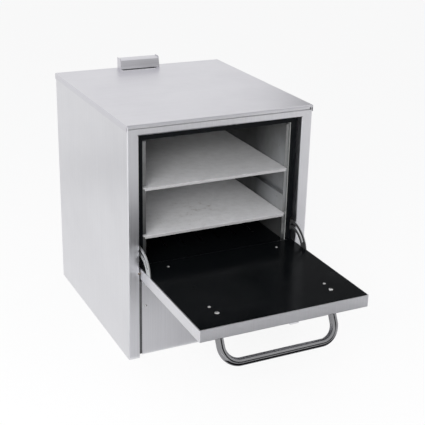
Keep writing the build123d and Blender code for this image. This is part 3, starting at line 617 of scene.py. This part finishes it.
def make_materials():
    """One material for each material slot of the record, and one for the white pointer."""
    brushed_group()
    worn_group()
    # Painted shade: darker towards the chamber's rear, and on faces that look out of the front.
    depth_shade_group()
    front_shade_group()
    return {
        "stainless_brushed": brushed_sheet("brushed_cabinet", CABINET_STEEL, CABINET_GRAIN, rough=0.34),
        "stainless_lid": brushed_sheet("brushed_lid", LID_STEEL, LID_GRAIN, rough=0.36),
        "galvanised": galvanised_sheet(),
        "black_paint": black_paint(),
        "black_enamel": enamel("black_enamel", BLACK_ENAMEL, rough=0.15, gloss=0.06),
        "grey_enamel": enamel("grey_enamel", GREY_ENAMEL, rough=0.30, gloss=0.45),
        "guide_steel": heated_steel("guide_steel", GUIDE_STEEL, GUIDE_GRAIN, rough=0.32),
        "deck_steel": aluminised_sheet(),
        "polished_steel": polished_tube(),
        "screw_steel": turned_metal("plated_screw", PLATED_STEEL, rough=0.26),
        "bronze": turned_metal("bronze_bush", BRONZE, rough=0.42),
        "mineral_wool": mineral_wool(),
        "burner_steel": heated_steel("burner_steel", BURNER_STEEL, BURNER_GRAIN, rough=0.46),
        "gas_fitting": turned_metal("gas_fitting", BRASS, rough=0.40),
        "black_pipe": turned_metal("black_pipe", BLACK_IRON, rough=0.48, ring_scale=PIPE_RING_SCALE),
        "black_plastic": moulded_plastic("black_plastic", BLACK_PLASTIC, rough=0.42),
        "red_plastic": moulded_plastic("red_plastic", RED_PLASTIC, rough=0.34),
        "white_marking": moulded_plastic("white_marking", WHITE_MARKING, rough=0.55),
    }


def dress_nodes(frame, materials):
    """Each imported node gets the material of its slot."""
    for row in frame["record"]["subparts"]:
        node = frame["nodes"][row["node"]]
        node.data.materials.clear()
        node.data.materials.append(materials[row["material_slot"]])


# Mesh helpers


def mesh_object(name, mesh):
    """A mesh set in the scene as an object."""
    made = bpy.data.objects.new(name, mesh)
    bpy.context.scene.collection.objects.link(made)
    return made


def built_object(name, build):
    """An object filled by a build function, its mesh closed and with outward normals."""
    mesh = bpy.data.meshes.new(name)
    shape = bmesh.new()
    build(shape)
    bmesh.ops.remove_doubles(shape, verts=shape.verts, dist=MERGE_DISTANCE)
    bmesh.ops.recalc_face_normals(shape, faces=shape.faces)
    shape.to_mesh(mesh)
    shape.free()
    return mesh_object(name, mesh)


def soften(mesh):
    """Smooth shading that keeps sharp edges."""
    mesh.shade_smooth()
    mesh.set_sharp_from_angle(angle=SHARP_ANGLE)


def lathe(shape, profile, segments, radius_at=None):
    """A body turned about Z from (radius, height) points, closed at both ends."""
    rings = []
    for radius, height in profile:
        if radius == 0:
            rings.append([shape.verts.new((0, 0, height))])
            continue
        ring = []
        for step in range(segments):
            angle = 2 * math.pi * step / segments
            reach = radius_at(radius, angle) if radius_at else radius
            place = (reach * math.sin(angle), reach * math.cos(angle), height)
            ring.append(shape.verts.new(place))
        rings.append(ring)
    for low, high in zip(rings, rings[1:]):
        for step in range(segments):
            after = step + 1
            corners = [
                low[step % len(low)],
                low[after % len(low)],
                high[after % len(high)],
                high[step % len(high)],
            ]
            shape.faces.new(list(dict.fromkeys(corners)))


def block_between(shape, first, second):
    """A closed body between two outlines with as many points."""
    near = [shape.verts.new(point) for point in first]
    far = [shape.verts.new(point) for point in second]
    shape.faces.new(near)
    shape.faces.new(far)
    for step in range(len(near)):
        after = (step + 1) % len(near)
        shape.faces.new((near[step], near[after], far[after], far[step]))


def worked_in(carrier):
    """The carrier's mesh with its modifiers worked in, and the modifiers removed."""
    bpy.context.view_layer.update()
    graph = bpy.context.evaluated_depsgraph_get()
    mesh = bpy.data.meshes.new_from_object(carrier.evaluated_get(graph))
    carrier.modifiers.clear()
    carrier.data = mesh
    return carrier


def drop(helper):
    """A construction helper leaves the scene once it has been used."""
    bpy.data.objects.remove(helper, do_unlink=True)


def cut_away(target, cutter):
    """Cut one object out of another."""
    modifier = target.modifiers.new("recess", "BOOLEAN")
    modifier.operation = "DIFFERENCE"
    modifier.solver = "EXACT"
    modifier.object = cutter
    worked_in(target)
    drop(cutter)
    return target


# Geometry node trees


def geometry_tree(name, sockets):
    """A geometry node tree with named inputs, its material among them."""
    tree = bpy.data.node_groups.new(name, "GeometryNodeTree")
    kinds = {"Geometry": "NodeSocketGeometry", **sockets, "Material": "NodeSocketMaterial"}
    for socket, kind in kinds.items():
        tree.interface.new_socket(socket, in_out="INPUT", socket_type=kind)
    tree.interface.new_socket("Geometry", in_out="OUTPUT", socket_type="NodeSocketGeometry")
    return tree, tree.nodes.new("NodeGroupInput").outputs


def end_tree(tree, given, instances):
    """The tree's end: real copies that carry its material."""
    real = make_node(tree, "GeometryNodeRealizeInstances", {"Geometry": instances})
    painted = {"Geometry": real.outputs["Geometry"], "Material": given["Material"]}
    paint = make_node(tree, "GeometryNodeSetMaterial", painted)
    make_node(tree, "NodeGroupOutput", {"Geometry": paint.outputs["Geometry"]})
    return tree


def fastener_tree():
    """Sets one fastener at each point, faced one way and each turned by its own angle."""
    sockets = {
        "Fastener": "NodeSocketObject",
        "Facing": "NodeSocketRotation",
        "Turn Seed": "NodeSocketInt",
    }
    tree, given = geometry_tree("fasteners_at_points", sockets)
    piece = make_node(tree, "GeometryNodeObjectInfo", {"Object": given["Fastener"]})
    seats = {
        "Points": given["Geometry"],
        "Instance": piece.outputs["Geometry"],
        "Rotation": given["Facing"],
    }
    place = make_node(tree, "GeometryNodeInstanceOnPoints", seats)
    turns = {0: (0.0, 0.0, 0.0), 1: (0.0, 0.0, math.pi), "Seed": given["Turn Seed"]}
    turn = make_node(tree, "FunctionNodeRandomValue", turns, data_type="FLOAT_VECTOR")
    turned = {"Instances": place.outputs["Instances"], "Rotation": turn.outputs["Value"]}
    rotate = make_node(tree, "GeometryNodeRotateInstances", turned)
    return end_tree(tree, given, rotate.outputs["Instances"])


def grid_tree():
    """Repeats one pressed form over an upright grid of rows and columns."""
    sockets = {
        "Form": "NodeSocketObject",
        "Columns": "NodeSocketInt",
        "Rows": "NodeSocketInt",
        "Width": "NodeSocketFloat",
        "Height": "NodeSocketFloat",
        "Centre": "NodeSocketVector",
    }
    tree, given = geometry_tree("forms_on_a_grid", sockets)
    cells = {
        "Size X": given["Width"],
        "Size Y": given["Height"],
        "Vertices X": given["Columns"],
        "Vertices Y": given["Rows"],
    }
    grid = make_node(tree, "GeometryNodeMeshGrid", cells)
    upright = {"Geometry": grid.outputs["Mesh"], "Rotation": (math.pi / 2, 0.0, 0.0)}
    stand = make_node(tree, "GeometryNodeTransform", upright)
    moved = {"Geometry": stand.outputs["Geometry"], "Translation": given["Centre"]}
    move = make_node(tree, "GeometryNodeTransform", moved)
    piece = make_node(tree, "GeometryNodeObjectInfo", {"Object": given["Form"]})
    seats = {"Points": move.outputs["Geometry"], "Instance": piece.outputs["Geometry"]}
    place = make_node(tree, "GeometryNodeInstanceOnPoints", seats)
    return end_tree(tree, given, place.outputs["Instances"])


def repeated(name, tree, points, values):
    """An object filled by a geometry node tree, its modifier worked in."""
    mesh = bpy.data.meshes.new(name)
    mesh.from_pydata([tuple(point) for point in points], [], [])
    carrier = mesh_object(name, mesh)
    modifier = carrier.modifiers.new("repeat", "NODES")
    modifier.node_group = tree
    for item in tree.interface.items_tree:
        if item.in_out == "INPUT" and item.name in values:
            modifier[item.identifier] = values[item.name]
    worked_in(carrier)
    soften(carrier.data)
    return carrier


# Screws and bolts


def fastener(name, head_radius, head_height, shank_radius, shank, recess):
    """A domed fastener along +Z, its seat at the origin, with a recess in its head."""
    chamfer = shank_radius * SHANK_CHAMFER
    profile = [
        (0, -shank),
        (shank_radius - chamfer, -shank),
        (shank_radius, chamfer - shank),
        (shank_radius, 0),
    ]
    profile += [(head_radius * out, head_height * up) for out, up in DOMED_HEAD]
    body = built_object(name, lambda shape: lathe(shape, profile, SCREW_SEGMENTS))
    return cut_away(body, recess(head_radius, head_height))


def cross_recess(head_radius, head_height):
    """Cutter for a cross recess, narrowing downwards."""
    arm = head_radius * CROSS_ARM
    width = head_radius * CROSS_WIDTH
    top, floor = head_height * CUTTER_TOP, head_height * CROSS_FLOOR
    outline = []
    for quarter in range(4):
        turn = Matrix.Rotation(quarter * math.pi / 2, 3, "Z")
        for x, y in ((arm, -width), (arm, width), (width, width)):
            outline.append(turn @ Vector((x, y, 0)))
    wide = [(point.x, point.y, top) for point in outline]
    narrow = [(point.x * CROSS_TAPER, point.y * CROSS_TAPER, floor) for point in outline]
    return built_object("cross_cutter", lambda shape: block_between(shape, wide, narrow))


def hex_recess(head_radius, head_height):
    """Cutter for a six-sided socket with a shallow cone at its bottom."""
    radius = head_radius * HEX_RADIUS
    profile = [
        (0, head_height * HEX_FLOOR),
        (radius, head_height * HEX_WALL_FOOT),
        (radius, head_height * CUTTER_TOP),
        (0, head_height * CUTTER_TOP),
    ]
    return built_object("hex_cutter", lambda shape: lathe(shape, profile, HEX_SIDES))


def loose_solids(shape):
    """The points of each solid that hangs together in a mesh."""
    left = set(shape.verts)
    while left:
        solid, front = set(), [left.pop()]
        while front:
            vert = front.pop()
            solid.add(vert)
            for edge in vert.link_edges:
                other = edge.other_vert(vert)
                if other in left:
                    left.remove(other)
                    front.append(other)
        yield [vert.co for vert in solid]


def off_axis(point, seat, axis):
    """Distance of a point from the axis through a seat."""
    away = point - seat
    away[axis] = 0.0
    return away.length


def node_seats(frame, node, axis, sign, head_radius):
    """Where a node's fasteners sit: the middle of each head's seat, read from its loose solids."""
    shape = bmesh.new()
    shape.from_mesh(frame["nodes"][node].data)
    bmesh.ops.remove_doubles(shape, verts=shape.verts, dist=NODE_MERGE_DISTANCE)
    seats = []
    for points in loose_solids(shape):
        low = Vector([min(values) for values in zip(*points)])
        high = Vector([max(values) for values in zip(*points)])
        seat = (low + high) / 2
        edge = [point for point in points if off_axis(point, seat, axis) > head_radius * RIM_SHARE]
        rim = [point[axis] for point in edge]
        seat[axis] = min(rim) if sign > 0 else max(rim)
        seats.append(seat)
    shape.free()
    return sorted(seats, key=tuple)


def build_screws(frame, materials, tree):
    """The screws and bolts, with cross recesses and hexagon sockets in their heads."""
    small = (SMALL_HEAD_RADIUS, SMALL_HEAD_HEIGHT, SMALL_SHANK_RADIUS)
    bolt = (BOLT_HEAD_RADIUS, BOLT_HEAD_HEIGHT, BOLT_SHANK_RADIUS)
    up = (0.0, 0.0, 0.0)
    front = (math.pi / 2, 0.0, 0.0)
    rear = (-math.pi / 2, 0.0, 0.0)
    # Node, body, sizes, recess, facing, axis of the shanks, side of the heads, seed of the turns
    sets = [
        ("liner_screws", "door", small, cross_recess, up, Z, 1, 3),
        ("handle_bolts", "door", bolt, hex_recess, up, Z, 1, 5),
        ("panel_screws", "cabinet", small, cross_recess, front, Y, -1, 7),
        ("back_screws", "cabinet", small, cross_recess, rear, Y, 1, 11),
    ]
    for node, body, size, recess, facing, axis, sign, seed in sets:
        low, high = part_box(node)
        seats = node_seats(frame, node, axis, sign, size[0])
        shank = abs((low if sign > 0 else high)[axis] - seats[0][axis])
        head = fastener(f"{node}_head", *size, shank, recess)
        values = {
            "Fastener": head,
            "Facing": Euler(facing),
            "Turn Seed": seed,
            "Material": materials["screw_steel"],
        }
        made = repeated(f"{node}_set", tree, seats, values)
        drop(head)
        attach(made, body)
        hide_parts(node)


# Back panel


def louvre_form():
    """One pressed louvre: a half dome that bulges backwards over its slot and opens downwards."""
    across, up = LOUVRE_CELLS

    def build(shape):
        rows = []
        for step in range(across + 1):
            sideways = -1 + 2 * step / across
            taper = math.sqrt(max(0.0, 1 - abs(sideways) ** LOUVRE_END_POWER))
            row = []
            for level in range(up + 1):
                climb = level / up
                lean = math.cos(climb * math.pi / 2) if climb < 1 else 0.0
                swell = lean**LOUVRE_SWELL_POWER
                x = sideways * LOUVRE_LENGTH / 2
                y = LOUVRE_STAND * swell * taper
                z = LOUVRE_RISE * (climb - LOUVRE_BELOW)
                row.append(shape.verts.new((x, y, z)))
            rows.append(row)
        for left, right in zip(rows, rows[1:]):
            for level in range(up):
                above = level + 1
                shape.faces.new((left[level], right[level], right[above], left[above]))

    form = built_object("louvre_form", build)
    wall = form.modifiers.new("wall", "SOLIDIFY")
    wall.thickness = LOUVRE_SHEET
    wall.offset = 0.0
    return worked_in(form)


def build_louvres(materials, tree):
    """The louvre hoods over the back panel's slots."""
    panel_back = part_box("back_panel")[1].y
    form = louvre_form()
    height = (LOUVRE_ROWS - 1) * LOUVRE_PITCH_Z
    values = {
        "Form": form,
        "Columns": LOUVRE_COLUMNS,
        "Rows": LOUVRE_ROWS,
        "Width": (LOUVRE_COLUMNS - 1) * LOUVRE_PITCH_X,
        "Height": height,
        "Centre": (LOUVRE_SHIFT, panel_back, LOUVRE_LOW + height / 2),
        "Material": materials["galvanised"],
    }
    made = repeated("back_louvres", tree, [], values)
    drop(form)
    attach(made, "cabinet")


# Rack guides


def build_rivets(materials, tree):
    """Domed rivets along each rack guide's wall strip."""
    profile = [(0, -RIVET_SUNK), (RIVET_RADIUS, -RIVET_SUNK)]
    profile += [(RIVET_RADIUS * out, RIVET_HEIGHT * up) for out, up in RIVET_DOME]
    lower_low, lower_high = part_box("lower_deck")
    heights = (
        lower_low.z - RIVET_BELOW_DECK,
        lower_high.z + RIVET_ABOVE_LOWER_DECK,
        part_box("upper_deck")[1].z + RIVET_ABOVE_UPPER_DECK,
    )
    for side, name in ((-1, "left"), (1, "right")):
        low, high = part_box(f"rack_guide_{name}")
        x = side * (max(abs(low.x), abs(high.x)) - GUIDE_SHEET)
        start = low.y + RIVET_END_MARGIN
        step = (high.y - low.y - 2 * RIVET_END_MARGIN) / (RIVET_COLUMNS - 1)
        points = [(x, start + column * step, z) for z in heights for column in range(RIVET_COLUMNS)]
        head = built_object("rivet", lambda shape: lathe(shape, profile, RIVET_SEGMENTS))
        values = {
            "Fastener": head,
            "Facing": Euler((0.0, -side * math.pi / 2, 0.0)),
            "Turn Seed": RIVET_TURN_SEED,
            "Material": materials["guide_steel"],
        }
        made = repeated(f"guide_rivets_{name}", tree, points, values)
        drop(head)
        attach(made, "cabinet")


# Control dial


def knob_profile(skirt, grip, depth, shaft):
    """The knob's outline from its shaft's end over the skirt and the grip to its dished face."""
    profile = [
        (0, -shaft),
        (KNOB_SHAFT_RADIUS, -shaft),
        (KNOB_SHAFT_RADIUS, -KNOB_SHAFT_STEP),
    ]
    profile += [(skirt * out, height) for out, height in KNOB_SKIRT]
    profile += [(grip * out, height) for out, height in KNOB_GRIP_FOOT]
    profile += [(grip * out, depth - below) for out, below in KNOB_FACE_DROPS]
    return profile


def pointer_outline(grip):
    """The pointer's outline, seen from the front, with a short tip."""
    low, high = grip * POINTER_FROM, grip * POINTER_TO
    left, right = -POINTER_HALF, POINTER_HALF
    return [(left, low), (right, low), (right, high), (0, high + POINTER_TIP), (left, high)]


def build_knob(materials):
    """The thermostat's knob: a skirt, a fluted grip with a dished face, its shaft and pointer."""
    low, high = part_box("thermostat_knob")
    centre = ((low.x + high.x) / 2, 0.0, (low.z + high.z) / 2)
    skirt = (high.x - low.x) / 2
    grip = skirt * KNOB_GRIP_SHARE
    panel_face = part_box("access_panel")[0].y
    seat = panel_face - KNOB_GAP
    depth = seat - low.y - POINTER_RISE
    profile = knob_profile(skirt, grip, depth, high.y - seat)

    def fluted(radius, angle):
        if not KNOB_FLUTED_FROM * skirt < radius < grip * KNOB_FLUTED_TO:
            return radius
        groove = max(0.0, math.cos(angle * KNOB_FLUTES / 2)) ** KNOB_FLUTE_POWER
        top = abs(math.atan2(math.sin(angle), math.cos(angle))) < math.pi / KNOB_FLUTES
        return radius * (1.0 if top else 1.0 - KNOB_FLUTE_DEPTH * groove)

    def turned(shape):
        lathe(shape, profile, KNOB_SEGMENTS, fluted)

    knob = built_object("thermostat_knob_grip", turned)
    towards_front = Matrix.Rotation(math.pi / 2, 4, "X")
    knob.data.transform(Matrix.Translation((centre[0], seat, centre[2])) @ towards_front)
    knob.data.materials.append(materials["black_plastic"])
    soften(knob.data)

    outline = pointer_outline(grip)
    front = [(x, -POINTER_RISE, z) for x, z in outline]
    rear = [(x, POINTER_ROOT, z) for x, z in outline]
    pointer = built_object(
        "thermostat_knob_pointer", lambda shape: block_between(shape, front, rear)
    )
    face = seat - depth + POINTER_SINK
    pointer.data.transform(Matrix.Translation((centre[0], face, centre[2])))
    pointer.data.materials.append(materials["white_marking"])
    for piece in (knob, pointer):
        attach(piece, "thermostat_knob")
    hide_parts("thermostat_knob")
    return centre, panel_face


def build_dial(materials, centre, panel_face):
    """Plain tick marks round the knob, without figures, the first one longer."""

    def build(shape):
        for count in range(TICK_COUNT):
            turn = math.radians(-TICK_SWEEP * count / (TICK_COUNT - 1))
            half = TICK_WIDTH / 2
            length = TICK_LENGTH * (FIRST_TICK_SHARE if count == 0 else 1.0)
            outline = ((-half, 0), (half, 0), (half, length), (-half, length))
            spots = []
            for across, out in outline:
                reach = TICK_CIRCLE + out
                x = centre[0] + across * math.cos(turn) - reach * math.sin(turn)
                z = centre[2] + across * math.sin(turn) + reach * math.cos(turn)
                spots.append((x, z))
            front = [(x, panel_face - TICK_RISE, z) for x, z in spots]
            rear = [(x, panel_face + TICK_SINK, z) for x, z in spots]
            block_between(shape, front, rear)

    ticks = built_object("dial_ticks", build)
    ticks.data.materials.append(materials["black_plastic"])
    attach(ticks, "cabinet")


# Studio


def build_camera():
    """The photo's view, worked out from its edges."""
    azimuth, fall, roll = map(math.radians, (CAMERA_AZIMUTH, CAMERA_FALL, CAMERA_ROLL))
    ahead = math.cos(fall)
    look = Vector((math.sin(azimuth) * ahead, math.cos(azimuth) * ahead, -math.sin(fall)))
    right = Vector((math.cos(azimuth), -math.sin(azimuth), 0.0))
    up = right.cross(look)
    side = math.cos(roll) * right + math.sin(roll) * up
    top = math.cos(roll) * up - math.sin(roll) * right
    data = bpy.data.cameras.new("photo_view")
    data.lens = CAMERA_LENS
    data.sensor_width = SENSOR_WIDTH
    camera = bpy.data.objects.new("photo_view", data)
    bpy.context.scene.collection.objects.link(camera)
    turn = Matrix((side, top, -look)).transposed()
    camera.matrix_world = Matrix.Translation(CAMERA_PLACE) @ turn.to_4x4()
    bpy.context.scene.camera = camera


def build_plane(name, centre, size, material, upright=False):
    """A flat rectangle, lying or standing."""
    x, y = size[0] / 2, size[1] / 2
    corners = [(-x, -y), (x, -y), (x, y), (-x, y)]
    flat = [(side, 0, along) if upright else (side, along, 0) for side, along in corners]
    mesh = bpy.data.meshes.new(name)
    mesh.from_pydata(flat, [], [(0, 1, 2, 3)])
    made = mesh_object(name, mesh)
    made.location = centre
    mesh.materials.append(material)
    return made


def card_board(name, grey):
    """Matt board of one grey, faintly uneven."""
    material, tree, shader, place = start_material(name)
    level = spread(tree, noise(tree, place, scale=1.2, detail=2.0), grey - CARD_UNEVEN, grey)
    colour = make_node(tree, "ShaderNodeCombineColor", {0: level, 1: level, 2: level})
    finish = {"Base Color": colour.outputs[0], "Roughness": 0.9, "Specular IOR Level": 0.1}
    link_or_set(tree, shader, finish)
    return material, tree, shader


def seen_rays(tree):
    """One for what the camera sees straight, mirrored or through glass, else nought."""
    path = make_node(tree, "ShaderNodeLightPath")
    mirrored = combine(tree, path.outputs["Is Camera Ray"], path.outputs["Is Glossy Ray"])
    return combine(tree, mirrored, path.outputs["Is Transmission Ray"])


def floor_paper():
    """White paper that keeps a faint shadow."""
    material, tree, shader = card_board("floor_paper", FLOOR_GREY)
    white = make_node(tree, "ShaderNodeEmission", {"Color": WHITE, "Strength": 1.0})
    share = part_of(tree, seen_rays(tree), WHITE_SHARE)
    layers = {0: share, 1: shader.outputs[0], 2: white.outputs[0]}
    mix = make_node(tree, "ShaderNodeMixShader", layers)
    tree.links.new(mix.outputs[0], tree.nodes["Material Output"].inputs["Surface"])
    return material


def reflected_card(name, place, size, grey, upright):
    """A grey card that only the metal sees."""
    card = build_plane(name, place, size, card_board(name, grey)[0], upright)
    card.visible_camera = False
    card.visible_shadow = False
    card.visible_diffuse = False


def softbox(name, place, size, power):
    """A square soft light aimed at the oven, which the metal does not mirror."""
    data = bpy.data.lights.new(name, "AREA")
    data.shape = "SQUARE"
    data.size = size
    data.energy = power
    lamp = bpy.data.objects.new(name, data)
    bpy.context.scene.collection.objects.link(lamp)
    lamp.location = place
    lamp.rotation_mode = "QUATERNION"
    lamp.rotation_quaternion = (Vector(LIGHT_TARGET) - Vector(place)).to_track_quat("-Z", "Y")
    lamp.visible_glossy = False


def white_surround():
    """A white surround that lights softly, more from behind than from the front."""
    world = bpy.data.worlds.new("white_surround")
    bpy.context.scene.world = world
    world.use_nodes = True
    tree = world.node_tree
    tree.nodes.clear()
    direction = make_node(tree, "ShaderNodeTexCoord").outputs["Generated"]
    towards_rear = mask(tree, depth_of(tree, direction), start=-1.0, end=1.0)
    shade = ramp(tree, towards_rear, (0.0, SURROUND_FRONT), (1.0, SURROUND_REAR))
    lit = make_node(tree, "ShaderNodeBackground", {"Color": shade, "Strength": 1.0})
    white = make_node(tree, "ShaderNodeBackground", {"Color": WHITE, "Strength": 1.0})
    layers = {0: seen_rays(tree), 1: lit.outputs[0], 2: white.outputs[0]}
    mix = make_node(tree, "ShaderNodeMixShader", layers)
    make_node(tree, "ShaderNodeOutputWorld", {"Surface": mix.outputs[0]})


def build_studio():
    """Pale floor, grey cards for the metal to reflect, soft lights and a white surround."""
    spot, size = (0, 0, -FLOOR_DROP), (FLOOR_SIZE, FLOOR_SIZE)
    floor = build_plane("studio_floor", spot, size, floor_paper())
    for card in CARDS:
        reflected_card(*card)
    for light in LIGHTS:
        softbox(*light)
    white_surround()
    bpy.context.scene.view_settings.view_transform = "Standard"


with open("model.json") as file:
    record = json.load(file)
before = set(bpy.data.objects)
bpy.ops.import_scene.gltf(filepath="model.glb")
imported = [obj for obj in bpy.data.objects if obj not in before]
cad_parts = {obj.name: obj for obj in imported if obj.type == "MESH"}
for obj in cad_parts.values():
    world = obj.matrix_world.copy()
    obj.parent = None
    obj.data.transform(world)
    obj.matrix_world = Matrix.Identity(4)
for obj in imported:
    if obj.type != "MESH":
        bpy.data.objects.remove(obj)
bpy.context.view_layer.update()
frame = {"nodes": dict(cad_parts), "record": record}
build_camera()
build_studio()
materials = make_materials()
dress_nodes(frame, materials)
at_points = fastener_tree()
on_grid = grid_tree()
build_screws(frame, materials, at_points)
build_louvres(materials, on_grid)
build_rivets(materials, at_points)
dial_centre, dial_face = build_knob(materials)
build_dial(materials, dial_centre, dial_face)
